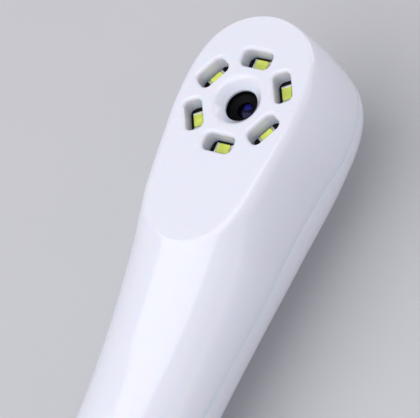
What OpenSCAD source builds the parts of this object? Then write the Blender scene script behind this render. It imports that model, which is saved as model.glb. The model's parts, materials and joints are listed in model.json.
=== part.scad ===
// Intraoral camera: a lying wand with the lens face up.
// Lens frame used below: x from the lens centre toward the tip, y to the left, z up from the lens face.

/* [Handpiece] */
// Overall length from the tip to the end of the tail collar
length = 198; // [196:1:200]
// Height of the lens face above the table that the handle lies on
face_height = 20.6; // [20.4:0.1:20.8]
// Depth of the parting plane below the lens face
split_depth = 9.0; // [8.8:0.1:9.3]
// Wall thickness of both shells
wall = 1.3; // [1.2:0.1:1.4]
// Thickness of the lens face
face_wall = 2.0; // [1.9:0.1:2.1]

/* [Head] */
// Distance from the lens centre to the tip
tip_x = 10.2; // [10.1:0.1:10.5]
// Number of LEDs around the lens
led_count = 6; // [4:1:6]
// Radius of the circle that the LEDs stand on
led_ring_r = 5.06; // [5:0.02:5.1]
// Length of an LED
led_length = 2.0; // [1.9:0.1:2.3]
// Width of an LED
led_width = 1.2; // [1.1:0.1:1.4]
// Length of an LED's window
window_length = 3.6; // [3.5:0.1:3.9]
// Width of an LED's window
window_width = 2.0; // [1.9:0.1:2.1]
// Radius of the lens dish at the face
dish_r = 2.84; // [2.7:0.02:3]
// Radius of the hole at the bottom of the dish
aperture_r = 1.85; // [1.8:0.01:1.95]

/* [Buttons] */
// Place of the capture button behind the lens
capture_x = -106; // [-107:1:-105]
// Radius of the capture button's cap
capture_r = 4.6; // [4.4:0.1:4.8]
// Place of the light button behind the lens
light_x = -92; // [-93:1:-92]
// Radius of the light button's cap
light_r = 2.9; // [2.8:0.1:3]
// Travel of each button
travel = 0.5; // [0.4:0.1:0.6]

/* [Tail] */
// Length of the tail collar
collar_length = 6.5; // [6.4:0.1:6.8]
// Radius of the round recess that takes the nose of the lead's plug
recess_r = 5.6; // [5.4:0.1:5.8]
// Depth of that recess
recess_depth = 3.0; // [2.8:0.1:3.2]

/* [Hidden] */
$fn = 64;

lens_x = length / 2 - tip_x;
tail_x = tip_x - length;
collar_x = tail_x + collar_length;
split_z = -split_depth;

// Body sections along the wand, in the lens frame:
// [x, half width, crown height, keel height, crown power, keel power, face blend]
sections = [
    [tail_x, 9.2, -1.6, -18.8, 2.3, 2.2, 0.15],
    [-172, 11.4, 0.3, -21.2, 2.4, 2.3, 0.15],
    [-150, 13.1, 1.8, -21.7, 2.4, 2.3, 0.15],
    [-125, 13.4, 2.2, -21.7, 2.4, 2.3, 0.15],
    [-100, 12.4, 1.6, -21.2, 2.4, 2.3, 0.15],
    [-80, 10.2, 0.0, -20.3, 2.4, 2.3, 0.15],
    [-62, 7.8, -1.8, -17.8, 2.4, 2.2, 0.15],
    [-48, 6.3, -2.7, -16.4, 2.2, 2.2, 0.15],
    [-36, 6.5, -2.7, -16.2, 2.0, 2.3, 0.15],
    [-26, 7.1, -2.0, -16.1, 2.2, 2.3, 0.15],
    [-17, 7.9, -0.1, -16.0, 2.4, 2.3, 0.15],
    [-14, 7.9, 1.2, -15.9, 2.6, 2.6, 0.5],
    [-10, 8.1, 3.2, -15.8, 2.5, 2.8, 1.4],
    [-5, 8.6, 3.8, -15.8, 2.5, 2.8, 1.2],
    [0, 9.4, 4.3, -15.7, 2.2, 2.2, 0.9]
];
face_end = -30;     // the lens face is a flat cut ahead of this x
plan_power = 2.6;   // how square the tip is from above
crown_power = 6.5;  // and above the parting plane, from the side
keel_power = 2.0;   // and below it
floor_blend = 0.5;  // rounding where the keel meets the resting face
tail_round = 3.0;   // length of the rounding at the tail's end
tail_inset = 2.0;   // how far that rounding draws in

// Places clear of the body on every side, for cutting
beyond_x = 20;
beyond_y = 20;
above_z = 10;
below_z = -25;

// --- the skin: one smooth surface that every housing piece is cut from ---

function last(v) = len(v) - 1;
function span(x, i = 0) = i >= last(sections) - 1 || x <= sections[i + 1][0] ? i : span(x, i + 1);
function slope(i, c) =
    let (a = max(i - 1, 0), b = min(i + 1, last(sections)))
    i == last(sections) ? 0 : (sections[b][c] - sections[a][c]) / (sections[b][0] - sections[a][0]);
function section_at(x, c) =
    let (i = span(x), h = sections[i + 1][0] - sections[i][0], t = (x - sections[i][0]) / h)
    (2 * t ^ 3 - 3 * t ^ 2 + 1) * sections[i][c] + (t ^ 3 - 2 * t ^ 2 + t) * h * slope(i, c)
    + (3 * t ^ 2 - 2 * t ^ 3) * sections[i + 1][c] + (t ^ 3 - t ^ 2) * h * slope(i + 1, c);

function bulge(r, p) = max(0, 1 - r ^ p) ^ (1 / p);
function signed_power(v, p) = sign(v) * abs(v) ^ p;
function blend_min(a, b, k) =
    let (h = max(0, min(1, 0.5 + 0.5 * (b - a) / k)))
    b + (a - b) * h - k * h * (1 - h);
function blend_max(a, b, k) = -blend_min(-a, -b, k);

// Draw-in of the section at the tail's end
function end_inset(x) =
    let (s = max(0, min(1, (tail_x + tail_round - x) / tail_round)))
    tail_inset * (1 - sqrt(1 - s ^ 2));

// A point of the skin at x and angle, moved in by inset, with the lens face lowered by face
function skin_point(x, angle, inset, face) =
    let (
        r = max(x, 0) / (tip_x - inset),
        s = min(x, 0),
        draw = inset + end_inset(x),
        w = (section_at(s, 1) - draw) * bulge(r, plan_power),
        crown = (section_at(s, 2) - split_z - draw) * bulge(r, crown_power),
        keel = (split_z - section_at(s, 3) - draw) * bulge(r, keel_power),
        power = 2 / section_at(s, sin(angle) >= 0 ? 4 : 5),
        z = split_z + (sin(angle) >= 0 ? crown : keel) * signed_power(sin(angle), power),
        cut = x > face_end ? blend_min(z, -face, max(0.15, section_at(s, 6))) : z
    )
    [x, w * signed_power(cos(angle), power), blend_max(cut, -face_height + inset, floor_blend)];

// Places of the section rings: close together at both ends and where the lens face runs out
tail_rings = [for (a = [0:30:90]) tail_x + tail_round * (1 - cos(a))];
function tip_rings(tip, turn) = concat([for (a = [0:turn:78]) tip * sin(a)], [tip * 0.9985, tip * 0.9999]);
function outer_rings() = concat(
    tail_rings, [for (x = [-180:8:-36]) x], [for (x = [-32:2:-2]) x], tip_rings(tip_x, 11)
);
function inner_rings(inset) = concat(
    tail_rings, [-180], [for (x = [-176:16:-32]) x], [for (x = [-28:4:-4]) x], tip_rings(tip_x - inset, 15)
);
collar_rings = concat(tail_rings, [-184, -180, -176, -172, -168]);

// A closed solid through rings of points, all of the same number
module loft(rings) {
    n = len(rings);
    m = len(rings[0]);
    polyhedron(
        points = [for (ring = rings) each ring],
        faces = concat(
            [[for (k = [0:m - 1]) k]],
            [for (i = [0:n - 2]) for (k = [0:m - 1])
                let (j = (k + 1) % m, a = i * m, b = a + m)
                each [[a + k, b + k, b + j], [a + k, b + j, a + j]]],
            [[for (k = [m - 1:-1:0]) (n - 1) * m + k]]
        ),
        convexity = 6
    );
}

// The skin as a solid, moved in by inset, with rings at xs
module skin(xs, inset = 0, face = 0, steps = 28) {
    loft([for (x = xs) [for (k = [0:steps - 1]) skin_point(x, 360 * k / steps, inset, face)]]);
}

// A block across the whole body, between two places along it and two heights
module slab(x0, x1, z0, z1) {
    translate([x0, -beyond_y, z0]) cube([x1 - x0, 2 * beyond_y, z1 - z0]);
}

module from_lens() {
    translate([lens_x, 0, face_height]) children();
}

// --- places and sizes of the pieces inside ---

led_board_z = -face_wall - 0.05;    // top of the LED board
led_board_t = 1.0;
board_z = -7.6;                 // top of the main board
board_t = 1.0;
board_tail_x = collar_x - 0.6;
board_head_x = -78;
usb_h = 3.26;
usb_w = 8.94;
usb_length = 7.3;
usb_corner = 1.6;
usb_x = tail_x + recess_depth;
usb_z = board_z - board_t - usb_h / 2;
screw_xs = [-168, -84];
screw_r = 1.0;
screw_seat_z = -13;
well_r = 2.1;                   // radius of the well that a screw's head sits in
lip_t = 0.7;                    // how far in the locating lip stands
lip_h = 0.9;
fit = 0.05;                     // gap between pieces that push into each other
hole_gap = 0.15;                // gap around a piece that passes through a hole
insert_length = 4;
insert_r = 1.6;

module rounded_bar(l, w, r) {
    // A flat rounded rectangle, l along x and w along y
    square([l - 2 * r, w], center = true);
    square([l, w - 2 * r], center = true);
    for (sx = [-1, 1]) for (sy = [-1, 1])
        translate([sx * (l / 2 - r), sy * (w / 2 - r)]) circle(r);
}

module around_leds() {
    for (k = [0:led_count - 1])
        rotate(360 * k / led_count) translate([led_ring_r, 0, 0]) rotate(90) children();
}

module ring(outer, inner, z0, z1) {
    translate([0, 0, z0]) difference() {
        cylinder(r = outer, h = z1 - z0);
        translate([0, 0, -1]) cylinder(r = inner, h = z1 - z0 + 2);
    }
}

module block(x, y, z, l, w, h) {
    // A box centred on x and y that stands on z
    translate([x - l / 2, y - w / 2, z]) cube([l, w, h]);
}

// --- housing ---

window_corner = 0.7;
dish_depth = 1.15;
barrel_front = -1.45;   // front of the lens barrel, which stops against the shell
barrel_r = 2.3;

// Half outline of the opening in front of the lens: the dish, a short bore and the barrel's seat
lens_mouth = [
    [0, 0.5], [dish_r + 0.4, 0.5], [dish_r, 0], [aperture_r, -dish_depth], [aperture_r, barrel_front],
    [barrel_r + hole_gap, barrel_front], [barrel_r + hole_gap, -face_wall - 1], [0, -face_wall - 1]
];

module front_shell() color("white") from_lens() {
    difference() {
        intersection() {
            skin(outer_rings(), steps = 40);
            slab(collar_x, beyond_x, split_z, above_z);
        }
        skin(inner_rings(wall), wall, face_wall);
        intersection() {
            skin(inner_rings(lip_t - fit), lip_t - fit, lip_t);
            slab(collar_x - 1, beyond_x, split_z - 1, split_z + lip_h + fit);
        }
        rotate_extrude() polygon(lens_mouth);
        translate([0, 0, -face_wall - 1]) linear_extrude(face_wall + 2)
            around_leds() rounded_bar(window_length, window_width, window_corner);
        bezel_hole(capture_x, capture_r);
        bezel_hole(light_x, light_r);
    }
    for (x = screw_xs) front_boss(x);
}

module bezel_hole(x, cap_r) {
    translate([x, 0, -6]) cylinder(r = cap_r + bezel_w + fit, h = 12);
}

boss_r = 2.8;
post_r = 3.1;
root = 0.7;     // how deep posts and ribs root in the wall they stand on

// Post under the front shell's crown that holds a brass insert
module front_boss(x) {
    translate([x, 0, 0]) difference() {
        translate([0, 0, board_z]) cylinder(r = boss_r, h = crown_at(x) - root - board_z);
        translate([0, 0, board_z - 1]) cylinder(r = insert_r, h = insert_length + 1);
        translate([0, 0, board_z - 1]) cylinder(r = screw_r + fit, h = insert_length + 2.2);
    }
}

module back_shell() color("white") from_lens() {
    difference() {
        union() {
            intersection() {
                skin(outer_rings(), steps = 40);
                slab(collar_x, beyond_x, below_z, split_z);
            }
            intersection() {
                skin(inner_rings(lip_t), lip_t, lip_t);
                slab(collar_x, beyond_x, split_z - 0.5, split_z + lip_h);
            }
        }
        skin(inner_rings(wall), wall, face_wall);
        for (x = screw_xs) translate([x, 0, below_z]) cylinder(r = well_r, h = screw_seat_z - below_z);
    }
    for (x = screw_xs) back_post(x);
    for (y = [-1, 1]) block(-1, y * 4, rib_foot_z, 6, rib_t, sensor_board_z - rib_foot_z);
    block(3.8, 0, rib_foot_z, rib_t, 5, sensor_board_z - rib_foot_z);
}

// Ribs that carry the sensor board
rib_t = 1;
rib_foot_z = -15;

// Height of the underside along the wand's middle
function underside(x) = max(section_at(x, 3), -face_height);

// Post of the back shell that a shell screw passes through
module back_post(x) translate([x, 0, 0]) difference() {
    translate([0, 0, underside(x) + root]) cylinder(r = post_r, h = board_z - board_t - underside(x) - root);
    translate([0, 0, below_z]) cylinder(r = well_r, h = screw_seat_z - below_z);
    translate([0, 0, below_z]) cylinder(r = screw_r + hole_gap, h = -below_z);
}

spigot_x = collar_x + 4.5;  // front end of the part that plugs into the shells
end_wall_t = 2;
end_wall_x = usb_x + end_wall_t;

module tail_collar() color("gainsboro") from_lens() {
    difference() {
        union() {
            intersection() {
                skin(collar_rings, steps = 40);
                slab(tail_x - 1, collar_x, below_z, above_z);
            }
            intersection() {
                skin(collar_rings, wall + hole_gap);
                slab(collar_x - 0.5, spigot_x, below_z, above_z);
            }
        }
        intersection() {
            skin(collar_rings, 2 * wall);
            slab(end_wall_x, spigot_x + 1, below_z, above_z);
        }
        translate([tail_x - 1, 0, usb_z]) rotate([0, 90, 0]) cylinder(r = recess_r, h = recess_depth + 1);
        translate([usb_x - 1, 0, usb_z]) rotate([90, 0, 90])
            linear_extrude(end_wall_t + 3) rounded_bar(usb_w + 2 * fit, usb_h + 2 * fit, usb_corner);
    }
}

module socket_seal() color("dimgray") from_lens() {
    translate([end_wall_x, 0, usb_z]) rotate([90, 0, 90]) linear_extrude(0.7) difference() {
        rounded_bar(usb_w + 2, usb_h + 2, 1.8);
        rounded_bar(usb_w, usb_h, usb_corner);
    }
}

// --- the lead's socket ---

usb_wall = 0.3;

module usb_inside() rounded_bar(usb_w - 2 * usb_wall, usb_h - 2 * usb_wall, usb_corner - usb_wall);

module usb_shell() color("silver") from_lens() {
    translate([usb_x, 0, usb_z]) rotate([90, 0, 90]) {
        difference() {
            linear_extrude(usb_length) rounded_bar(usb_w, usb_h, usb_corner);
            translate([0, 0, -1]) linear_extrude(usb_length + 1 - usb_wall) usb_inside();
        }
    }
}

tongue_w = 6.7;
tongue_t = 0.7;

module usb_tongue() color("black") from_lens() {
    translate([usb_x, 0, usb_z]) rotate([90, 0, 90]) {
        translate([0, 0, 5]) linear_extrude(2) usb_inside();
        translate([-tongue_w / 2, -tongue_t / 2, 0.8]) cube([tongue_w, tongue_t, 4.2]);
    }
}

module usb_contacts() color("goldenrod") from_lens() {
    for (k = [0:11]) for (s = [-1, 1])
        translate([usb_x + 1.1, (k - 5.5) * 0.5 - 0.12, usb_z + s * tongue_t / 2 - (s < 0 ? 0.08 : 0)])
            cube([3.4, 0.24, 0.08]);
}

// --- LED ring ---

module led_board() color("black") from_lens() {
    ring(6, 2.45, led_board_z - led_board_t, led_board_z);
}

led_base_h = 0.3;
led_phosphor_h = 0.35;
led_end = 0.25;         // from an LED's end to its phosphor
terminal_l = 0.25;
terminal_h = 0.35;

module led_bases() color("white") from_lens() {
    around_leds() block(0, 0, led_board_z, led_length - 2 * terminal_l, led_width, led_base_h);
}

module led_phosphors() color("yellow") from_lens() {
    around_leds()
        block(0, 0, led_board_z + led_base_h, led_length - 2 * led_end, led_width - 0.1, led_phosphor_h);
}

module led_terminals() color("silver") from_lens() {
    around_leds() for (s = [-1, 1])
        block(s * (led_length - terminal_l) / 2, 0, led_board_z, terminal_l, led_width, terminal_h);
}

// --- lens and sensor ---

gasket_z = led_board_z - led_board_t - 0.6;   // underside of the gasket

module lens_gasket() color("dimgray") from_lens() {
    ring(3.3, 2.3, gasket_z, led_board_z - led_board_t);
}

barrel_back = -8.2;
thread_r = 2.4;         // radius of the barrel where it screws into the holder
thread_z = -4.2;        // where that thread ends
front_lens_r = 1.2;
rear_lens_r = 1.9;
lens_step_z = -3.9;     // where the bore widens from the front lens to the rear one

module lens_barrel() color("black") from_lens() rotate_extrude() polygon([
    [1.75, barrel_front], [barrel_r, barrel_front], [barrel_r, thread_z],
    [thread_r, thread_z], [thread_r, barrel_back],
    [rear_lens_r, barrel_back], [rear_lens_r, lens_step_z],
    [front_lens_r, lens_step_z], [front_lens_r, -2.3], [0.9, -2.3]
]);

module front_lens() color("navy") from_lens() intersection() {
    translate([0, 0, -3.3]) cylinder(r = front_lens_r, h = 1.2);
    translate([0, 0, -4.05]) sphere(1.74);
}

module aperture_stop() color("black") from_lens() ring(rear_lens_r, 0.45, lens_step_z - 0.2, lens_step_z);

module rear_lens() color("lightblue") from_lens() intersection() {
    translate([0, 0, -5.9]) cylinder(r = rear_lens_r, h = 1.7);
    translate([0, 0, -7.2]) sphere(3);
}

module lens_retainer() color("dimgray") from_lens() ring(rear_lens_r, 1.3, -6.6, -5.9);

holder_z = -10.6;       // top of the sensor board
holder_w = 8.6;
holder_base_h = 2.6;
sensor_board_t = 0.8;
sensor_board_z = holder_z - sensor_board_t;

module lens_holder() color("black") from_lens() difference() {
    union() {
        translate([0, 0, holder_z + 2]) cylinder(r = 3.5, h = gasket_z - holder_z - 2);
        block(0, 0, holder_z, holder_w, holder_w, holder_base_h);
    }
    translate([0, 0, holder_z - 1]) cylinder(r = thread_r, h = 1 - holder_z);
    block(0, 0, holder_z - 1, 6.4, 6.4, 2.7);
}

module ir_filter() color("lightcyan") from_lens() block(0, 0, holder_z + 1.4, 5.6, 5.6, 0.3);

module image_sensor() color("darkslategray") from_lens() block(0, 0, holder_z, 5.4, 5.4, 0.8);

module sensor_board() color("darkgreen") from_lens() block(-1, 0, sensor_board_z, 12, 9.6, sensor_board_t);

module sensor_connector() color("ivory") from_lens() difference() {
    block(-4, 0, sensor_board_z - 1, 3, 6, 1);
    block(-5, 0, flex_line[0][1] - flex_t / 2, 3, flex_w, flex_t);
}

// --- wiring ---

// Middle line of the flat cable, as [x, z], from the sensor's connector to the main board's
flex_line = [
    [-3.5, -11.9], [-9, -11.9], [-14, -11.6], [-30, -10.6],
    [-55, -9.4], [-68, -7.8], [-76, -6.7], [-80, -6.7]
];
flex_t = 0.25;
flex_w = 4;

module flex_cable() color("peru") from_lens() translate([0, flex_w / 2, 0]) rotate([90, 0, 0])
    linear_extrude(flex_w) polygon(concat(
        [for (p = flex_line) [p[0], p[1] - flex_t / 2]],
        [for (k = [last(flex_line):-1:0]) [flex_line[k][0], flex_line[k][1] + flex_t / 2]]
    ));

// A round wire along a list of points
module wire(route, r, sides = 8) {
    n = len(route);
    loft([for (i = [0:n - 1])
        let (
            run = route[min(i + 1, n - 1)] - route[max(i - 1, 0)],
            up = cross(run, [0, 1, 0]) / norm(cross(run, [0, 1, 0])),
            side = cross(run, up) / norm(run)
        )
        [for (k = [0:sides - 1]) route[i] + r * (cos(360 * k / sides) * up + sin(360 * k / sides) * side)]
    ]);
}

// Middle line of the LED wires, as [x, y, z], from the LED board to the main board
led_wire_route = [
    [-5, 3.4, -3.1], [-5.4, 3.4, -4.6], [-7, 3.4, -5.8], [-12, 3.2, -6.4], [-20, 3, -6.8],
    [-32, 3, -7.2], [-46, 3, -7.4], [-60, 3.4, -7.2], [-70, 4.2, -6.6], [-76, 5, -6.1], [-80, 5, -6.1]
];

module led_wires() color("firebrick") from_lens() {
    for (s = [0, 1]) wire([for (p = led_wire_route) p + [0, s, 0]], 0.4);
}

module wire_plug() color("ivory") from_lens() block(-82, 5.5, board_z, 4, 3.6, 2.2);

module board_connector() color("ivory") from_lens() difference() {
    block(-79.6, -0.4, board_z, 2.8, 6.4, 1.5);
    block(-78.5, 0, flex_line[last(flex_line)][1] - flex_t / 2, 3.4, flex_w, flex_t);
}

// --- main board ---

module main_board() color("darkgreen") from_lens() difference() {
    translate([0, 0, board_z - board_t]) union() {
        translate([collar_x + 5, -7.5, 0]) cube([board_head_x - collar_x - 5, 15, board_t]);
        translate([board_tail_x, -5, 0]) cube([collar_x + 6 - board_tail_x, 10, board_t]);
    }
    for (x = screw_xs) translate([x, 0, -12]) cylinder(r = screw_r + hole_gap, h = 12);
}

module video_processor() color("black") from_lens() block(-138, 0, board_z, 9, 9, 0.9);

module memory_chip() color("black") from_lens() block(-125, 0, board_z, 6, 5, 1.2);

module crystal() color("silver") from_lens() block(-148, 2, board_z, 3.2, 2.5, 0.8);

module regulator() color("black") from_lens() block(-157, -2, board_z, 6.5, 3.5, 1.6);

module passives() color("tan") from_lens() {
    for (k = [0:5]) for (s = [-1, 1]) block(-131 - 6 * k, s * 6.2, board_z, 1.6, 0.8, 0.8);
    for (k = [0:3]) block(-118 + 1.6 * k, 5.4, board_z, 0.8, 1.6, 0.6);
}

// --- buttons ---

bezel_w = 1.5;      // width of a bezel beyond the cap it frames
lip_z = 1.2;        // depth of the lip's underside below the crown
switch_w = 6;
switch_h = 3.5;
frame_t = 0.3;
plunger_r = 1.7;
stem_z = board_z + switch_h + 1.2;          // where a button's stem meets its plunger
switch_floor = 1;
plunger_z = board_z + switch_floor + travel + 0.25;     // underside of a plunger
dome_h = 0.2;
dome_ball_r = 6;

// Crown height beside a button
function crown_at(x) = section_at(x, 2);

module button(x, cap_r) translate([x, 0, crown_at(x)]) rotate_extrude() polygon([
    [0, stem_z - crown_at(x)], [1.5, stem_z - crown_at(x)],
    [1.5, -lip_z - 1.0], [cap_r + 0.6, -lip_z - 1.0], [cap_r + 0.6, -lip_z], [cap_r, -lip_z],
    [cap_r, 0.4], [cap_r - 0.5, 0.8], [0, 1.0]
]);

module bezel(x, cap_r) translate([x, 0, crown_at(x)]) rotate_extrude() polygon([
    [cap_r + 0.15, -lip_z], [cap_r + 0.15, 0.4], [cap_r + 0.4, 0.6], [cap_r + bezel_w - 0.6, 0.6],
    [cap_r + bezel_w, 0.1], [cap_r + bezel_w, -3.4], [cap_r + 0.8, -3.4], [cap_r + 0.8, -lip_z]
]);

module switch_base(x) translate([x, 0, 0]) difference() {
    block(0, 0, board_z, switch_w, switch_w, switch_h - frame_t);
    translate([0, 0, board_z + switch_floor]) cylinder(r = plunger_r + fit, h = switch_h + 1);
}

module switch_frame(x) translate([x, 0, 0]) {
    difference() {
        block(0, 0, board_z + switch_h - frame_t, switch_w, switch_w, frame_t);
        translate([0, 0, board_z]) cylinder(r = plunger_r + fit, h = switch_h + 1);
    }
    for (sx = [-1, 1]) for (sy = [-1, 1])
        block(sx * 2, sy * 3.25, board_z, 0.8, 0.5, 1.0);
}

module plunger(x) translate([x, 0, plunger_z]) cylinder(r = plunger_r, h = stem_z - plunger_z);

// The snap dome that clicks, pressed flat against the switch's floor
module dome(x) translate([x, 0, board_z + switch_floor]) intersection() {
    translate([0, 0, dome_h - dome_ball_r]) difference() {
        sphere(dome_ball_r);
        sphere(dome_ball_r - 0.08);
    }
    cylinder(r = plunger_r - 0.1, h = 1);
}

module capture_button() color("silver") from_lens() button(capture_x, capture_r);
module capture_bezel() color("gray") from_lens() bezel(capture_x, capture_r);
module capture_switch() color("black") from_lens() switch_base(capture_x);
module capture_switch_frame() color("silver") from_lens() switch_frame(capture_x);
module capture_plunger() color("dimgray") from_lens() plunger(capture_x);
module capture_dome() color("silver") from_lens() dome(capture_x);

module light_button() color("silver") from_lens() button(light_x, light_r);
module light_bezel() color("gray") from_lens() bezel(light_x, light_r);
module light_switch() color("black") from_lens() switch_base(light_x);
module light_switch_frame() color("silver") from_lens() switch_frame(light_x);
module light_plunger() color("dimgray") from_lens() plunger(light_x);
module light_dome() color("silver") from_lens() dome(light_x);

// --- fasteners ---

screw_head_h = 1.4;

module shell_screws() color("silver") from_lens() for (x = screw_xs) translate([x, 0, 0]) {
    difference() {
        translate([0, 0, screw_seat_z - screw_head_h]) cylinder(r = 1.9, h = screw_head_h);
        for (a = [0, 90]) rotate(a) block(0, 0, screw_seat_z - screw_head_h - 1, 2, 0.45, 1.7);
    }
    translate([0, 0, screw_seat_z]) cylinder(r = screw_r, h = board_z + insert_length + 0.8 - screw_seat_z);
}

module thread_inserts() color("goldenrod") from_lens() for (x = screw_xs)
    translate([x, 0, 0]) ring(insert_r, screw_r, board_z, board_z + insert_length);

module screw_covers() color("gainsboro") from_lens() for (x = screw_xs)
    translate([x, 0, underside(x) + 0.35])
        cylinder(r = well_r - fit, h = screw_seat_z - screw_head_h - 0.6 - underside(x));

front_shell();
back_shell();
tail_collar();
socket_seal();
usb_shell();
usb_tongue();
usb_contacts();
led_board();
led_bases();
led_phosphors();
led_terminals();
lens_gasket();
lens_barrel();
front_lens();
aperture_stop();
rear_lens();
lens_retainer();
lens_holder();
ir_filter();
image_sensor();
sensor_board();
sensor_connector();
flex_cable();
led_wires();
wire_plug();
board_connector();
main_board();
video_processor();
memory_chip();
crystal();
regulator();
passives();
capture_button();
capture_bezel();
capture_switch();
capture_switch_frame();
capture_plunger();
capture_dome();
light_button();
light_bezel();
light_switch();
light_switch_frame();
light_plunger();
light_dome();
shell_screws();
thread_inserts();
screw_covers();
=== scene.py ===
"""Looks of the intraoral camera: housing, LED ring, lens, buttons and materials round the CAD frame.

Lengths are in millimetres in the lens frame (x from the lens centre towards the tip, y to the left,
z up from the lens face) until a mesh is made, which puts them in the CAD frame in metres.
"""

import json
import math

import bmesh
import bpy
import numpy as np
from mathutils import Matrix, Quaternion, Vector


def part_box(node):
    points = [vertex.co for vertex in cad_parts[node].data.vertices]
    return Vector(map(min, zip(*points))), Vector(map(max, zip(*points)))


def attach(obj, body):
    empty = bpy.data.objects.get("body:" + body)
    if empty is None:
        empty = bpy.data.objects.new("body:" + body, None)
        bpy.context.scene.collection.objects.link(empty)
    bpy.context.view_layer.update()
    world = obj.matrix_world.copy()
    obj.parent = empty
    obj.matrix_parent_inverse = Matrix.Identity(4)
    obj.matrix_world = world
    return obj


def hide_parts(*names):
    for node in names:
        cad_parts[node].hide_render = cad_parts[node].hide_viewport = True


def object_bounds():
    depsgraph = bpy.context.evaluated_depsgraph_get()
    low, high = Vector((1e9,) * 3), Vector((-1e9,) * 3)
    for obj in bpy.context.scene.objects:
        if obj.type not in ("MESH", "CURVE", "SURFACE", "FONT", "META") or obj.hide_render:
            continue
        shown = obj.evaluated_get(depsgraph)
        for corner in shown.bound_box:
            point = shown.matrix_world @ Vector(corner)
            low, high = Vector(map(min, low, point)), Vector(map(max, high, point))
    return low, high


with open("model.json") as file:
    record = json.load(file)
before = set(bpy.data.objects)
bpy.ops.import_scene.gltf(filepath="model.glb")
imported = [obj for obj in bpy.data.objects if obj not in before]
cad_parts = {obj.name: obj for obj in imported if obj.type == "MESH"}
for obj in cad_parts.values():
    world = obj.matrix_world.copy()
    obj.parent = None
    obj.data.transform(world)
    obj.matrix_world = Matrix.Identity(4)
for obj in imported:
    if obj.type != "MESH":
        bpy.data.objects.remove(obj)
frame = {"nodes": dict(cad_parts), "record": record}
cad_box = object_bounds()

# --- where the CAD puts things ---

MM = 1000
BARREL_TOP = -1.45      # front of the lens barrel, below the lens face


def middle_mm(node):
    low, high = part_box(node)
    return (low + high) / 2 * MM


LENS = middle_mm("lens_barrel")
FACE_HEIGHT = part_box("lens_barrel")[1].z * MM - BARREL_TOP


def place_mm(node):
    """Middle of a CAD node in the lens frame."""
    m = middle_mm(node)
    return np.array((m.x - LENS.x, m.y - LENS.y, m.z - FACE_HEIGHT))


TIP_X = cad_box[1].x * MM - LENS.x
TAIL_X = cad_box[0].x * MM - LENS.x
COLLAR_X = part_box("front_shell")[0].x * MM - LENS.x
SPLIT_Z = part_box("front_shell")[0].z * MM - FACE_HEIGHT
SOCKET_Z = place_mm("usb_shell")[2]

# --- housing sizes ---

WALL = 1.3
FACE_WALL = 2.0
FACE_END = -30
PLAN_POWER = 2.6
CROWN_POWER = 6.5
KEEL_POWER = 2.0
FLOOR_BLEND = 0.5
TAIL_ROUND = 3.0
TAIL_INSET = 2.0
SEAM = 0.05             # depth of the fine groove where housing pieces meet
CREASE_BLEND = 0.05     # rounding of the lens face's edge at its crispest, in the middle of the crease
CUT_ABOVE = 0.05        # how far a cutter's flare stands above the lens face

# Sections along the wand: x, half width, crown height, keel height, crown power, keel power, face blend
SECTIONS = np.array([
    (TAIL_X, 9.2, -1.6, -18.8, 2.3, 2.2, 0.15),
    (-172, 11.4, 0.3, -21.2, 2.4, 2.3, 0.15),
    (-150, 13.1, 1.8, -21.7, 2.4, 2.3, 0.15),
    (-125, 13.4, 2.2, -21.7, 2.4, 2.3, 0.15),
    (-100, 12.4, 1.6, -21.2, 2.4, 2.3, 0.15),
    (-80, 10.2, 0.0, -20.3, 2.4, 2.3, 0.15),
    (-62, 7.8, -1.8, -17.8, 2.4, 2.2, 0.15),
    (-48, 6.3, -2.7, -16.4, 2.2, 2.2, 0.15),
    (-36, 6.5, -2.7, -16.2, 2.0, 2.3, 0.15),
    (-26, 7.1, -2.0, -16.1, 2.2, 2.3, 0.15),
    (-17, 7.9, -0.1, -16.0, 2.4, 2.3, 0.15),
    (-14, 7.9, 1.2, -15.9, 2.6, 2.6, 0.5),
    (-10, 8.1, 3.2, -15.8, 2.5, 2.8, 1.4),
    (-5, 8.6, 3.8, -15.8, 2.5, 2.8, 1.2),
    (0, 9.4, 4.3, -15.7, 2.2, 2.2, 0.9),
])
SLOPES = np.gradient(SECTIONS, axis=0)
SLOPES = SLOPES / SLOPES[:, :1]
SLOPES[-1] = 0
FACE_START = -16.7      # where the crown rises through the lens face
SMOOTH_ANGLE = 32       # degrees between faces from which a housing edge stays sharp

LED_RING_R = 5.06       # from the lens axis to the middle of each LED
LED_COUNT = 6
LED_LENGTH = 2.0
LED_WIDTH = 1.2
LED_TOP = -2.05         # top of the LED board
WINDOW_LENGTH = 3.6
WINDOW_WIDTH = 2.0
WINDOW_CORNER = 0.7
DISH_R = 2.84
APERTURE_R = 1.85
DISH_DEPTH = 1.15
BARREL_SEAT_R = 2.45
SCREW_XS = (-168, -84)
WELL_R = 2.1

RECESS_R = 5.6          # round recess in the tail for the lead's plug
RECESS_DEPTH = 3.0
SOCKET_LENGTH = 9.04    # opening round the socket's steel shell
SOCKET_WIDTH = 3.36
SOCKET_CORNER = 1.6

CAP_RS = {"capture": 4.6, "light": 2.9}
BEZEL_WIDTH = 1.5       # from a cap's edge to its bezel's outer edge
BEZEL_GAP = 0.05        # between a bezel and the hole it sits in
SKIRT_TOP = -1.2        # top of a cap's flange, right under the lip of its bezel


# --- the skin, as in the CAD ---

def section(x):
    """Section values at x: half width, crown, keel, crown power, keel power, face blend."""
    x = min(max(x, SECTIONS[0, 0]), 0)
    i = int(np.clip(np.searchsorted(SECTIONS[:, 0], x) - 1, 0, len(SECTIONS) - 2))
    h = SECTIONS[i + 1, 0] - SECTIONS[i, 0]
    t = (x - SECTIONS[i, 0]) / h
    value = (2 * t**3 - 3 * t**2 + 1) * SECTIONS[i] + (t**3 - 2 * t**2 + t) * h * SLOPES[i]
    value = value + (3 * t**2 - 2 * t**3) * SECTIONS[i + 1] + (t**3 - t**2) * h * SLOPES[i + 1]
    return value[1:]


def bulge(r, power):
    return max(0, 1 - r**power) ** (1 / power)


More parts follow.
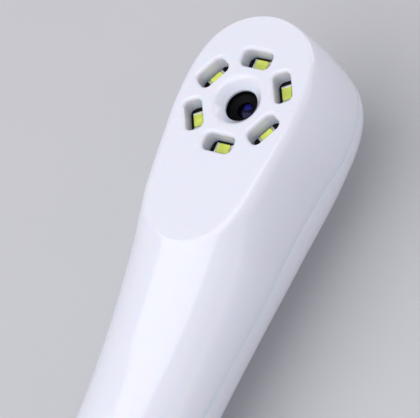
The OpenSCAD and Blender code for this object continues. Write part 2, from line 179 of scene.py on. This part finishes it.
def blend_min(a, b, k):
    h = np.clip(0.5 + 0.5 * (b - a) / k, 0, 1)
    return b + (a - b) * h - k * h * (1 - h)


def end_inset(x):
    s = np.clip((TAIL_X + TAIL_ROUND - x) / TAIL_ROUND, 0, 1)
    return TAIL_INSET * (1 - math.sqrt(1 - s**2))


def half_sizes(x, inset):
    """Half width, crown and keel sizes from the parting plane, and both powers and the blend, at x."""
    w, crown, keel, up, low, blend = section(x)
    draw = inset + end_inset(x)
    r = max(x, 0) / (TIP_X - inset)
    return (
        (w - draw) * bulge(r, PLAN_POWER),
        (crown - SPLIT_Z - draw) * bulge(r, CROWN_POWER),
        (SPLIT_Z - keel - draw) * bulge(r, KEEL_POWER),
        up, low, blend,
    )


def seam_rows():
    """Heights and draws of the small rounded edge next to the parting plane."""
    turns = np.linspace(0, math.pi / 2, 4)
    return [(SEAM * (1 - math.cos(a)), SEAM * (1 - math.sin(a))) for a in turns]


def crown_half(x, inset, face, seam):
    """Points of the upper half section at x, from the left edge over the crown to the right edge."""
    w, crown, _, power, _, blend = half_sizes(x, inset)
    edge = max(-face - SPLIT_Z, 0)
    # Points lie closer together on both sides of the angle where the crown meets the lens face
    cut = math.pi / 2
    if x > FACE_END and crown > edge:
        cut = math.asin((edge / crown) ** (power / 2))
    side = cut * np.linspace(0, 1, 40)[1:] ** 0.7
    over = cut + (math.pi / 2 - cut) * np.linspace(0, 1, 20)[1:] ** 1.5
    angles = np.concatenate([side, over])
    y = w * np.cos(angles).clip(0) ** (2 / power)
    z = SPLIT_Z + crown * np.sin(angles) ** (2 / power)
    if x > FACE_END:
        # The rounding grows from the middle outwards, and is whole before the side is reached
        outwards = np.clip(y / max(w, 0.01) * 1.6, 0, 1)
        k = CREASE_BLEND + max(0, blend - CREASE_BLEND) * outwards ** 2
        z = blend_min(z, -face, np.maximum(k, CREASE_BLEND))
    rows = seam_rows() if seam else [(0, 0)]
    low_y = [max(w - d, w / 2) for _, d in rows]
    low_z = [SPLIT_Z + min(h, crown) for h, _ in rows]
    # No point may lie below the seam's edge
    keep = z > low_z[-1] + 0.02
    z = np.where(keep, z, low_z[-1])
    y = np.concatenate([low_y, y])
    z = np.concatenate([low_z, z])
    left = np.column_stack([np.full(len(y), x), y, z])
    right = left[-2::-1] * (1, -1, 1)
    return np.vstack([left, right])


def keel_half(x, inset, seam):
    """Points of the lower half section at x, from the left edge under the keel to the right edge."""
    w, _, keel, _, power, _ = half_sizes(x, inset)
    angles = math.pi / 2 * np.linspace(0, 1, 44)[1:]
    y = w * np.cos(angles).clip(0) ** (2 / power)
    z = SPLIT_Z - keel * np.sin(angles) ** (2 / power)
    z = -blend_min(-z, FACE_HEIGHT - inset, FLOOR_BLEND)
    rows = seam_rows() if seam else [(0, 0)]
    y = np.concatenate([[max(w - d, w / 2) for _, d in rows], y])
    z = np.concatenate([[SPLIT_Z - min(h, keel) for h, _ in rows], z])
    left = np.column_stack([np.full(len(y), x), y, z])
    right = left[-2::-1] * (1, -1, 1)
    return np.vstack([left, right])


def ring_xs(start, tip):
    """Section places, close together where the face starts and where the tip turns down."""
    handle = np.arange(start + 1.5, FACE_START - 6, 1.5)
    neck = np.linspace(FACE_START - 6, FACE_START - 0.6, 14)
    crease = FACE_START + 3 * np.linspace(0, 1, 22) ** 2
    face = np.linspace(FACE_START + 3, 0, 36)[1:]
    side = np.linspace(0, 0.84 * tip, 26)[1:]
    wall = [tip * (1 - q**5) ** 0.2 for q in np.linspace(0.88, 0, 34)]
    lead = start + SEAM * np.array((0, 0.15, 0.5, 1, 3))
    return np.concatenate([lead, handle, neck, crease, face, side, wall])


# --- meshes ---

def add_piece(name, verts, faces, body="wand", angle=SMOOTH_ANGLE):
    """A mesh object from points in the lens frame, in metres in the CAD frame, riding on a body."""
    verts = (np.asarray(verts) + (LENS.x, LENS.y, FACE_HEIGHT)) / MM
    mesh = bpy.data.meshes.new(name)
    mesh.from_pydata(verts.tolist(), [], faces)
    bm = bmesh.new()
    bm.from_mesh(mesh)
    bmesh.ops.remove_doubles(bm, verts=bm.verts, dist=2e-7)
    bmesh.ops.dissolve_degenerate(bm, edges=bm.edges, dist=1e-8)
    bmesh.ops.recalc_face_normals(bm, faces=bm.faces)
    bm.to_mesh(mesh)
    bm.free()
    piece = bpy.data.objects.new(name, mesh)
    bpy.context.scene.collection.objects.link(piece)
    smooth(piece, angle)
    if body:
        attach(piece, body)
    return piece


def smooth(piece, angle):
    mesh = piece.data
    mesh.shade_smooth()
    mesh.set_sharp_from_angle(angle=math.radians(angle))


def loft(loops, capped=False):
    """Points and faces through closed loops of the same number of points, with both ends capped or open."""
    n = len(loops[0])
    verts = np.vstack(loops)
    faces = []
    for i in range(len(loops) - 1):
        for k in range(n):
            j = (k + 1) % n
            faces.append((i * n + k, (i + 1) * n + k, (i + 1) * n + j, i * n + j))
    if capped:
        faces.append(tuple(range(n)))
        faces.append(tuple(range(len(verts) - 1, len(verts) - n - 1, -1)))
    return verts, faces


def joined(parts):
    """One set of points and faces from several."""
    verts, faces, start = [], [], 0
    for v, f in parts:
        verts.append(np.asarray(v))
        faces += [tuple(k + start for k in face) for face in f]
        start += len(v)
    return np.vstack(verts), faces


def revolve(profile, centre=(0, 0, 0), sides=96):
    """A turned solid from (radius, height) points, about z."""
    angles = np.linspace(0, 2 * math.pi, sides, endpoint=False)
    loops = []
    for r, h in profile:
        c, s = r * np.cos(angles), r * np.sin(angles)
        loops.append(np.column_stack([c, s, np.full(sides, h)]) + centre)
    loops.append(loops[0])
    return loft(loops)


def bar_outline(length, width, corner, steps=10):
    """Outline of a rounded bar about the origin, length along x."""
    points = []
    for sx, sy, start in ((1, 1, 0), (-1, 1, 90), (-1, -1, 180), (1, -1, 270)):
        for a in np.radians(np.linspace(start, start + 90, steps)):
            points.append((
                sx * (length / 2 - corner) + corner * math.cos(a),
                sy * (width / 2 - corner) + corner * math.sin(a),
            ))
    return np.array(points)


def turned(points, degrees):
    a = math.radians(degrees)
    x, y = points[:, 0].copy(), points[:, 1].copy()
    out = points.copy()
    out[:, 0] = x * math.cos(a) - y * math.sin(a)
    out[:, 1] = x * math.sin(a) + y * math.cos(a)
    return out


def at_led(verts, k):
    """Moves points made about the origin to LED k, their length along the ring."""
    verts = np.asarray(verts, float)
    verts = turned(verts, 90)
    verts = verts + (LED_RING_R, 0, 0)
    return turned(verts, 360 / LED_COUNT * k)


def cut_with(piece, solids):
    """Cuts the given solids out of a piece, one after the other as they may overlap."""
    for verts, faces in solids:
        cutter = add_piece("cutter", verts, faces, body=None)
        modifier = piece.modifiers.new("cut", "BOOLEAN")
        modifier.operation = "DIFFERENCE"
        modifier.solver = "EXACT"
        modifier.object = cutter
        graph = bpy.context.evaluated_depsgraph_get()
        mesh = bpy.data.meshes.new_from_object(piece.evaluated_get(graph))
        piece.modifiers.clear()
        piece.data = mesh
        bpy.data.objects.remove(cutter)


# --- housing ---

def shell(halves_outer, halves_inner):
    """A thin-walled half housing: outer half sections, back along inner ones, closed at the tail."""
    loops = [np.vstack([o, i[::-1]]) for o, i in zip(halves_outer, halves_inner)]
    verts, faces = loft(loops)
    n, m = len(loops[0]), len(halves_outer[0])
    for k in range(m - 1):
        faces.append((k, k + 1, n - 2 - k, n - 1 - k))
    return verts, faces


def tail_draw(x):
    """How far the outer skin draws in where it meets the tail collar, as a fine rounded edge."""
    s = np.clip(1 - (x - COLLAR_X) / SEAM, 0, 1)
    return SEAM * (1 - math.sqrt(1 - s**2))


def window_cutter(k):
    """The cutter of one LED window, flared at the lens face so that its rim is softly rounded."""
    rim = 0.42
    levels = [(rim + 0.3, CUT_ABOVE)]
    levels += [(rim * (1 - math.sin(a)), -rim * (1 - math.cos(a))) for a in np.radians(np.arange(10, 91, 8))]
    levels.append((0, -FACE_WALL - 0.5))
    loops = []
    for grow, z in levels:
        ring = bar_outline(WINDOW_LENGTH + 2 * grow, WINDOW_WIDTH + 2 * grow, WINDOW_CORNER + grow)
        loops.append(np.column_stack([ring, np.full(len(ring), z)]))
    verts, faces = loft(loops, capped=True)
    return at_led(verts, k), faces


def dish_cutter():
    """The cutter of the lens dish: a cone with a soft rim, a short bore and the barrel's seat."""
    slope = math.atan2(DISH_DEPTH, DISH_R - APERTURE_R)
    rim = 0.9
    bore_top = -1.17
    run = rim * math.tan(slope / 2)
    soft = []
    for t in np.linspace(0.04, 1, 9):
        start = np.array((DISH_R + run, 0))
        corner = np.array((DISH_R, 0))
        end = corner + run * np.array((-math.cos(slope), -math.sin(slope)))
        soft.append(tuple((1 - t) ** 2 * start + 2 * t * (1 - t) * corner + t**2 * end))
    profile = [(0, 0.6), (DISH_R + run + 0.5, 0.6), (DISH_R + run + 0.3, CUT_ABOVE)] + soft
    profile += [(APERTURE_R + 0.06, bore_top + 0.09), (APERTURE_R, bore_top), (APERTURE_R, BARREL_TOP)]
    profile += [(BARREL_SEAT_R, BARREL_TOP), (BARREL_SEAT_R, -FACE_WALL - 1), (0, -FACE_WALL - 1)]
    return revolve(profile, sides=128)


def make_front_shell():
    outer_xs = ring_xs(COLLAR_X, TIP_X)
    inner_xs = ring_xs(COLLAR_X, TIP_X - WALL)
    outer = [crown_half(x, tail_draw(x), 0, True) for x in outer_xs]
    inner = [crown_half(x, WALL, FACE_WALL, False) for x in inner_xs]
    extra = len(outer[0]) - len(inner[0])
    inner = [np.vstack([[h[0]] * (extra // 2), h, [h[-1]] * (extra // 2)]) for h in inner]
    piece = add_piece("front_shell_smooth", *shell(outer, inner))
    parts = [window_cutter(k) for k in range(LED_COUNT)] + [dish_cutter()]
    for name, cap_r in CAP_RS.items():
        hole_r = cap_r + BEZEL_WIDTH + BEZEL_GAP
        parts.append(revolve([(0, -6), (hole_r, -6), (hole_r, 6), (0, 6)], place_mm(name + "_bezel")))
    cut_with(piece, parts)
    smooth(piece, SMOOTH_ANGLE)
    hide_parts("front_shell")
    return piece


def make_back_shell():
    outer = [keel_half(x, tail_draw(x), True) for x in ring_xs(COLLAR_X, TIP_X)]
    inner = [keel_half(x, WALL, False) for x in ring_xs(COLLAR_X, TIP_X - WALL)]
    extra = len(outer[0]) - len(inner[0])
    inner = [np.vstack([[h[0]] * (extra // 2), h, [h[-1]] * (extra // 2)]) for h in inner]
    piece = add_piece("back_shell_smooth", *shell(outer, inner))
    parts = []
    for x in SCREW_XS:
        foot = max(section(x)[2], -FACE_HEIGHT)
        flare = [(WELL_R + 0.6, foot - 2), (WELL_R + 0.35, foot - 0.1), (WELL_R + 0.1, foot + 0.12)]
        flare += [(WELL_R, foot + 0.4), (WELL_R, foot + 3), (0, foot + 3), (0, foot - 2)]
        parts.append(revolve(flare, (x, 0, 0)))
    cut_with(piece, parts)
    smooth(piece, SMOOTH_ANGLE)
    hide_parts("back_shell")
    return piece


def whole_ring(x, inset, count=128):
    """A closed section at x with its points at even angles round the socket's axis."""
    angles = np.linspace(0, 2 * math.pi, 1440, endpoint=False)
    w, crown, keel, up, low, _ = half_sizes(x, inset)
    power = np.where(np.sin(angles) >= 0, 2 / up, 2 / low)
    size = np.where(np.sin(angles) >= 0, crown, keel)
    y = w * np.sign(np.cos(angles)) * np.abs(np.cos(angles)) ** power
    z = SPLIT_Z + size * np.sign(np.sin(angles)) * np.abs(np.sin(angles)) ** power
    z = -blend_min(-z, FACE_HEIGHT - inset, FLOOR_BLEND)
    turn = np.unwrap(np.arctan2(z - SOCKET_Z, y))
    want = turn[0] + np.linspace(0, 2 * math.pi, count, endpoint=False)
    turn = np.append(turn, turn[0] + 2 * math.pi)
    y, z = np.append(y, y[0]), np.append(z, z[0])
    ys, zs = np.interp(want, turn, y), np.interp(want, turn, z)
    return np.column_stack([np.full(count, x), ys, zs])


def socket_ring(x, outline_of, count=128):
    """A loop at x whose points match whole_ring's, on the outline that outline_of gives by angle."""
    ring = whole_ring(TAIL_X, 0, count)
    angles = np.arctan2(ring[:, 2] - SOCKET_Z, ring[:, 1])
    yz = np.array([outline_of(a) for a in angles])
    return np.column_stack([np.full(count, x), yz[:, 0], yz[:, 1] + SOCKET_Z])


def circle_of(radius):
    return lambda a: (radius * math.cos(a), radius * math.sin(a))


def bar_of(length, width, corner):
    """A rounded bar's outline, by angle."""
    outline = bar_outline(length, width, corner, 24)
    turn = np.arctan2(outline[:, 1], outline[:, 0])
    order = np.argsort(turn)
    turn, outline = turn[order], outline[order]
    return lambda a: (
        np.interp(a, turn, outline[:, 0], period=2 * math.pi),
        np.interp(a, turn, outline[:, 1], period=2 * math.pi),
    )


def make_tail_collar():
    end_wall = 2.0
    rim = 0.3
    back_r = RECESS_R + 0.3
    xs = [TAIL_X + TAIL_ROUND * (1 - math.cos(a)) for a in np.radians(np.linspace(90, 0, 16))]
    body_xs = [COLLAR_X - s for s in (0, 0.02, 0.07, SEAM, 0.5, 1.2, 2.2)]
    loops = []
    for x in body_xs + xs[:1]:
        s = np.clip(1 - (COLLAR_X - x) / SEAM, 0, 1)
        loops.append(whole_ring(x, SEAM * (1 - math.sqrt(1 - s**2))))
    loops += [whole_ring(x, 0) for x in xs[1:]]
    loops.append(socket_ring(TAIL_X, circle_of(RECESS_R + rim)))
    for a in np.radians((30, 60, 90)):
        loops.append(socket_ring(
            TAIL_X + rim * (1 - math.cos(a)), circle_of(RECESS_R + rim * (1 - math.sin(a)))
        ))
    floor_x = TAIL_X + RECESS_DEPTH
    slit = bar_of(SOCKET_LENGTH, SOCKET_WIDTH, SOCKET_CORNER)
    loops.append(socket_ring(floor_x, circle_of(RECESS_R)))
    loops.append(socket_ring(floor_x, slit))
    loops.append(socket_ring(floor_x + end_wall, slit))
    loops.append(socket_ring(floor_x + end_wall, circle_of(back_r)))
    loops.append(whole_ring(COLLAR_X, 2 * WALL))
    loops.append(loops[0])
    verts, faces = loft(loops)
    piece = add_piece("tail_collar_smooth", verts, faces)
    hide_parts("tail_collar")
    return piece


# --- LED ring ---

def soft_block(length, width, low, high, edge, corner):
    """A block standing on low with rounded upright corners and a rounded top edge."""
    turns = np.radians((0, 30, 60, 90))
    levels = [(0, low)]
    levels += [(edge * (1 - math.cos(a)), high - edge * (1 - math.sin(a))) for a in turns]
    loops = []
    for draw, z in levels:
        ring = bar_outline(length - 2 * draw, width - 2 * draw, max(corner - draw, 0.01), 5)
        loops.append(np.column_stack([ring, np.full(len(ring), z)]))
    return loft(loops, capped=True)


def ring_of_leds(name, node, blocks):
    """One piece holding the given blocks at every LED."""
    parts = []
    for k in range(LED_COUNT):
        for (verts, faces), shift in blocks:
            parts.append((at_led(verts + (shift, 0, 0), k), faces))
    piece = add_piece(name, *joined(parts))
    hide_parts(node)
    return piece


def make_leds():
    base_h, phosphor_h, terminal_h, end = 0.3, 0.35, 0.55, 0.25
    base = soft_block(LED_LENGTH - 2 * end, LED_WIDTH, LED_TOP, LED_TOP + base_h, 0.03, 0.04)
    foot = LED_TOP + base_h
    phosphor = soft_block(LED_LENGTH - 2 * end, LED_WIDTH - 0.1, foot, foot + phosphor_h, 0.12, 0.18)
    terminal = soft_block(end, LED_WIDTH, LED_TOP, LED_TOP + terminal_h, 0.04, 0.04)
    reach = (LED_LENGTH - end) / 2
    return (
        ring_of_leds("led_base_blocks", "led_bases", [(base, 0)]),
        ring_of_leds("led_phosphor_blocks", "led_phosphors", [(phosphor, 0)]),
        ring_of_leds("led_terminal_pads", "led_terminals", [(terminal, reach), (terminal, -reach)]),
    )


# --- lens ---

def make_barrel():
    head_r, thread_r, bore_r = 2.3, 2.4, 1.9
    lens_r, lens_seat = 1.2, -2.3
    thread_top, stop_seat, foot = -4.2, -3.9, -8.2
    outside = [(1.75, BARREL_TOP), (head_r, BARREL_TOP), (head_r, thread_top), (thread_r, thread_top)]
    inside = [(thread_r, foot), (bore_r, foot), (bore_r, stop_seat), (lens_r, stop_seat), (lens_r, lens_seat)]
    cone = [(0.9, lens_seat), (0.94, -2.24), (1.3, -2.12), (1.64, -1.86), (1.7, -1.7)]
    profile = outside + inside + cone
    piece = add_piece("lens_barrel_turned", *revolve(profile, sides=96), angle=25)
    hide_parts("lens_barrel")
    return piece


def make_front_lens():
    ball, centre = 1.74, -4.05
    edge, back = 1.2, -3.3
    turns = np.linspace(0, math.asin(edge / ball), 16)
    bend = [(ball * math.sin(a), centre + ball * math.cos(a)) for a in turns]
    profile = bend + [(edge, back), (0, back)]
    piece = add_piece("front_lens_polished", *revolve(profile, sides=96), angle=35)
    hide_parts("front_lens")
    return piece


# --- buttons ---

def crown_at(x):
    return section(x)[1]


def make_button(name, radius, body):
    x = place_mm(name)[0]
    top = crown_at(x)
    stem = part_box(name)[0].z * MM - FACE_HEIGHT - top
    dish = [(r * radius * 0.78, 0.78 + 0.1 * r**2) for r in np.linspace(0, 1, 10)]
    shoulder = [(radius * 0.84, 0.86), (radius - 0.35, 0.8), (radius - 0.12, 0.66), (radius, 0.42)]
    flange_r, flange_foot, stem_r = radius + 0.6, -2.2, 1.5
    skirt = [(radius, SKIRT_TOP), (flange_r, SKIRT_TOP), (flange_r, flange_foot)]
    foot = [(stem_r, flange_foot), (stem_r, stem), (0, stem)]
    profile = dish + shoulder + skirt + foot
    piece = add_piece(name + "_cap", *revolve(profile, (x, 0, top), sides=128), body=body, angle=40)
    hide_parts(name)
    return piece


def make_bezel(name, radius):
    x = place_mm(name)[0]
    top = crown_at(x)
    lip = radius + 0.15
    rim = radius + BEZEL_WIDTH
    step_r, foot = radius + 0.8, -3.4
    profile = [(lip, SKIRT_TOP), (lip, 0.3), (lip + 0.1, 0.48), (lip + 0.3, 0.58), (lip + 0.6, 0.6)]
    profile += [(rim - 0.45, 0.5), (rim - 0.15, 0.28), (rim, 0), (rim, foot)]
    profile += [(step_r, foot), (step_r, SKIRT_TOP)]
    piece = add_piece(name + "_ring", *revolve(profile, (x, 0, top), sides=128), angle=40)
    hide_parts(name)
    return piece


# --- materials ---

def new_material(name, colour, roughness, metallic=0.0, **values):
    """A material with its Principled shader, whose own sockets hold what is even all over."""
    material = bpy.data.materials.new(name)
    material.use_nodes = True
    shader = material.node_tree.nodes["Principled BSDF"]
    shader.inputs["Base Color"].default_value = (*colour, 1)
    shader.inputs["Roughness"].default_value = roughness
    shader.inputs["Metallic"].default_value = metallic
    for socket, value in values.items():
        shader.inputs[socket.replace("_", " ")].default_value = value
    return material, shader


def noise(material, scale, detail=3, stretch=(1, 1, 1)):
    """Noise in object space, whose grain is about 1 / scale metres."""
    nodes, links = material.node_tree.nodes, material.node_tree.links
    place = nodes.new("ShaderNodeTexCoord")
    mapping = nodes.new("ShaderNodeMapping")
    mapping.inputs["Scale"].default_value = stretch
    texture = nodes.new("ShaderNodeTexNoise")
    texture.inputs["Scale"].default_value = scale
    texture.inputs["Detail"].default_value = detail
    links.new(place.outputs["Object"], mapping.inputs["Vector"])
    links.new(mapping.outputs["Vector"], texture.inputs["Vector"])
    return texture.outputs["Fac"]


def add_bump(material, shader, height, strength, distance):
    bump = material.node_tree.nodes.new("ShaderNodeBump")
    bump.inputs["Strength"].default_value = strength
    bump.inputs["Distance"].default_value = distance
    material.node_tree.links.new(height, bump.inputs["Height"])
    material.node_tree.links.new(bump.outputs["Normal"], shader.inputs["Normal"])


def vary_roughness(material, shader, source, low, high):
    span = material.node_tree.nodes.new("ShaderNodeMapRange")
    span.inputs["From Min"].default_value = 0.3
    span.inputs["From Max"].default_value = 0.7
    span.inputs["To Min"].default_value = low
    span.inputs["To Max"].default_value = high
    material.node_tree.links.new(source, span.inputs["Value"])
    material.node_tree.links.new(span.outputs["Result"], shader.inputs["Roughness"])


def vary_colour(material, shader, source, dark, light, low=0.35, high=0.65):
    ramp = material.node_tree.nodes.new("ShaderNodeValToRGB")
    ramp.color_ramp.elements[0].position = low
    ramp.color_ramp.elements[0].color = (*dark, 1)
    ramp.color_ramp.elements[1].position = high
    ramp.color_ramp.elements[1].color = (*light, 1)
    material.node_tree.links.new(source, ramp.inputs["Fac"])
    material.node_tree.links.new(ramp.outputs["Color"], shader.inputs["Base Color"])


def surface(
    name, colour, roughness, grain, bump=0.1, depth=5e-5, spread=0.12, shade=0.12, stretch=(1, 1, 1), **values
):
    """A moulded, turned or coated surface with uneven colour and gloss and a fine relief."""
    material, shader = new_material(name, colour, roughness, **values)
    fine = noise(material, grain, 4, stretch)
    broad = noise(material, grain / 12, 2, stretch)
    dark = tuple(c * (1 - shade) for c in colour)
    vary_colour(material, shader, broad, dark, colour)
    vary_roughness(material, shader, fine, roughness * (1 - spread), roughness * (1 + spread))
    add_bump(material, shader, fine, bump, depth)
    return material


def coated_glass():
    """Dark lens glass with a painted highlight: a blue glint, a reflection of light in its coating, painted
    into its colour on the tip side of its middle.
    """
    dark, glint_blue = (0.002, 0.002, 0.008), (0.012, 0.012, 0.16)
    material, shader = new_material("coated_glass", dark, 0.06, Specular_Tint=(0.3, 0.3, 0.7, 1))
    # Painted glint: a blue spot painted into the base colour round this point, where a lamp's reflection in
    # the coating would show
    middle = Vector((LENS.x + 0.5, LENS.y, FACE_HEIGHT - 2.4)) / MM
    reach = 0.6 / MM
    nodes, links = material.node_tree.nodes, material.node_tree.links
    place = nodes.new("ShaderNodeTexCoord")
    mapping = nodes.new("ShaderNodeMapping")
    mapping.inputs["Location"].default_value = -middle / reach
    mapping.inputs["Scale"].default_value = (1 / reach, 1 / reach, 1 / reach)
    painted_glint = nodes.new("ShaderNodeTexGradient")
    painted_glint.gradient_type = "SPHERICAL"
    links.new(place.outputs["Object"], mapping.inputs["Vector"])
    links.new(mapping.outputs["Vector"], painted_glint.inputs["Vector"])
    vary_colour(material, shader, painted_glint.outputs["Fac"], dark, glint_blue, 0.05, 0.5)
    return material


def make_materials():
    return {
        "white_shell": surface(
            "white_shell", (0.775, 0.79, 0.865), 0.12, 500, bump=0.05, depth=2e-5, shade=0.012,
            Subsurface_Weight=0.3, Subsurface_Scale=0.0012, Coat_Weight=0.25, Coat_Roughness=0.06,
        ),
        "grey_collar": surface(
            "grey_collar", (0.5, 0.51, 0.55), 0.42, 4000, bump=0.3, depth=4e-5, shade=0.05,
        ),
        "black_seal": surface("black_seal", (0.02, 0.02, 0.02), 0.6, 3000),
        "socket_steel": surface(
            "socket_steel", (0.62, 0.63, 0.65), 0.3, 900, stretch=(0.1, 1, 1), metallic=1,
        ),
        "black_plastic": surface("black_plastic", (0.02, 0.02, 0.022), 0.45, 3000),
        "gold_contact": surface("gold_contact", (0.8, 0.56, 0.2), 0.25, 2000, metallic=1),
        "led_board_black": surface(
            "led_board_black", (0.005, 0.006, 0.006), 0.4, 5000, shade=0.4, Specular_IOR_Level=0.2,
        ),
        "led_white": surface("led_white", (0.72, 0.78, 0.72), 0.3, 4000),
        "led_phosphor": surface(
            "led_phosphor", (0.74, 0.85, 0.12), 0.3, 9000, bump=0.4, depth=2e-5, shade=0.25,
            Coat_Weight=0.6, Coat_Roughness=0.1,
        ),
        "solder": surface("solder", (0.8, 0.82, 0.8), 0.22, 4000, metallic=1),
        "grey_foam": surface("grey_foam", (0.05, 0.05, 0.055), 0.8, 4000, bump=0.6),
        "barrel_black": surface(
            "barrel_black", (0.002, 0.002, 0.003), 0.6, 6000, shade=0.3, Specular_IOR_Level=0.1,
        ),
        # dark lens glass with a painted blue reflection glint
        "coated_glass": coated_glass(),
        "clear_glass": surface("clear_glass", (0.05, 0.06, 0.08), 0.04, 300, bump=0.0),
        "filter_glass": surface("filter_glass", (0.2, 0.45, 0.45), 0.04, 300, bump=0.0),
        "sensor_glass": surface("sensor_glass", (0.03, 0.05, 0.06), 0.08, 300, bump=0.0),
        "green_board": surface("green_board", (0.01, 0.12, 0.04), 0.35, 1500, shade=0.3),
        "ivory_plastic": surface("ivory_plastic", (0.72, 0.66, 0.5), 0.4, 2500),
        "amber_film": surface("amber_film", (0.45, 0.2, 0.03), 0.25, 800),
        "red_wire": surface("red_wire", (0.5, 0.02, 0.015), 0.4, 1500),
        "chip_black": surface("chip_black", (0.016, 0.016, 0.018), 0.55, 4000),
        "can_steel": surface("can_steel", (0.6, 0.61, 0.62), 0.28, 1200, metallic=1),
        "ceramic_tan": surface("ceramic_tan", (0.5, 0.36, 0.2), 0.4, 3000),
        "button_silver": surface(
            "button_silver", (0.3, 0.32, 0.36), 0.32, 2500, bump=0.12, metallic=0.5,
            Coat_Weight=0.3, Coat_Roughness=0.1,
        ),
        "bezel_chrome": surface("bezel_chrome", (0.66, 0.68, 0.72), 0.12, 700, bump=0.02, metallic=1),
        "screw_steel": surface("screw_steel", (0.55, 0.56, 0.58), 0.32, 1800, metallic=1),
        "insert_brass": surface("insert_brass", (0.7, 0.5, 0.2), 0.3, 1800, metallic=1),
    }


def dress(pieces):
    materials = make_materials()
    for part in frame["record"]["subparts"]:
        node = frame["nodes"][part["node"]]
        node.data.materials.clear()
        node.data.materials.append(materials[part["material_slot"]])
    for piece, slot in pieces:
        piece.data.materials.clear()
        piece.data.materials.append(materials[slot])


# --- stage, light and camera ---

FLOOR_DROP = 0.0002     # in metres, how far the floor lies under the housing
# The camera's own directions, and in mm its distance and where it aims, from the lens face's centre
VIEW_RIGHT = Vector((0.397, -0.824, -0.404))
VIEW_UP = Vector((0.86, 0.18, 0.477))
VIEW_BACK = Vector((-0.32, -0.537, 0.78))
CAMERA_DISTANCE = 350
AIM_RIGHT = -2.79
AIM_UP = -11.35


def make_floor():
    bpy.ops.mesh.primitive_plane_add(size=6, location=(0, 0, -FLOOR_DROP))
    floor = bpy.context.object
    floor.name = "floor"
    paper = surface("floor_paper", (0.54, 0.545, 0.56), 0.8, 300, bump=0.05, depth=1e-4, shade=0.02)
    floor.data.materials.append(paper)


def softbox(name, place, aim, size, radiance, colour=(1, 1, 1), turn=0):
    """An area light at place, facing aim, size in metres, turned about its own axis by turn degrees."""
    light = bpy.data.lights.new(name, "AREA")
    light.shape = "RECTANGLE"
    light.size, light.size_y = size
    light.energy = radiance * math.pi * size[0] * size[1]
    light.color = colour
    lamp = bpy.data.objects.new(name, light)
    lamp.location = place
    lamp.rotation_mode = "QUATERNION"
    facing = (Vector(aim) - Vector(place)).to_track_quat("-Z", "Y")
    lamp.rotation_quaternion = facing @ Quaternion((0, 0, 1), math.radians(turn))
    bpy.context.scene.collection.objects.link(lamp)


def face_point(right_mm=0, up_mm=0, back_mm=0):
    """A point from the lens face's centre along the camera's own directions."""
    start = Vector((LENS.x, LENS.y, FACE_HEIGHT))
    return (start + right_mm * VIEW_RIGHT + up_mm * VIEW_UP + back_mm * VIEW_BACK) / MM


def make_camera():
    camera = bpy.data.objects.new("camera", bpy.data.cameras.new("camera"))
    bpy.context.scene.collection.objects.link(camera)
    place = face_point(back_mm=CAMERA_DISTANCE)
    forward = (face_point(AIM_RIGHT, AIM_UP) - place).normalized()
    right = forward.cross(VIEW_UP).normalized()
    up = right.cross(forward)
    camera.matrix_world = Matrix.Translation(place) @ Matrix((right, up, -forward)).transposed().to_4x4()
    camera.data.lens = 288
    camera.data.sensor_width = 36
    camera.data.clip_start = 0.01
    bpy.context.scene.camera = camera


def make_lights():
    """A pale surround, two fills and a wide softbox overhead, which the neck's gloss shows as a strip."""
    world = bpy.data.worlds.new("studio")
    world.use_nodes = True
    background = world.node_tree.nodes["Background"]
    background.inputs["Color"].default_value = (0.95, 0.94, 1, 1)
    background.inputs["Strength"].default_value = 0.52
    bpy.context.scene.world = world
    head = Vector((LENS.x, 0, FACE_HEIGHT)) / MM
    height = 0.5
    turn = math.radians(9)
    size = Vector((1.07, 0.72))
    corner = Vector((0.04, 0.96)) * height
    along_y = Vector((math.sin(turn), -math.cos(turn)))
    along_x = Vector((-math.cos(turn), -math.sin(turn)))
    middle = corner + along_y * size.y / 2 + along_x * size.x / 2
    above = head + Vector((middle.x, middle.y, height))
    softbox("overhead", above, above - Vector((0, 0, 1)), size, 1.68, (0.98, 0.98, 1), math.degrees(turn))
    softbox("right_fill", head + Vector((0.15, -0.9, 0.14)), head, (0.8, 0.28), 0.55, (1, 0.95, 1))
    softbox("tip_fill", head + Vector((0.9, -0.3, 0.22)), head, (0.6, 0.4), 2.4, (1, 0.96, 1))


pieces = [(make_front_shell(), "white_shell"), (make_back_shell(), "white_shell")]
pieces.append((make_tail_collar(), "grey_collar"))
pieces += list(zip(make_leds(), ("led_white", "led_phosphor", "solder")))
pieces += [(make_barrel(), "barrel_black"), (make_front_lens(), "coated_glass")]
for button, radius in CAP_RS.items():
    pieces.append((make_button(button + "_button", radius, button), "button_silver"))
    pieces.append((make_bezel(button + "_bezel", radius), "bezel_chrome"))
dress(pieces)
make_floor()
make_lights()
make_camera()
bpy.context.scene.view_settings.view_transform = "Standard"
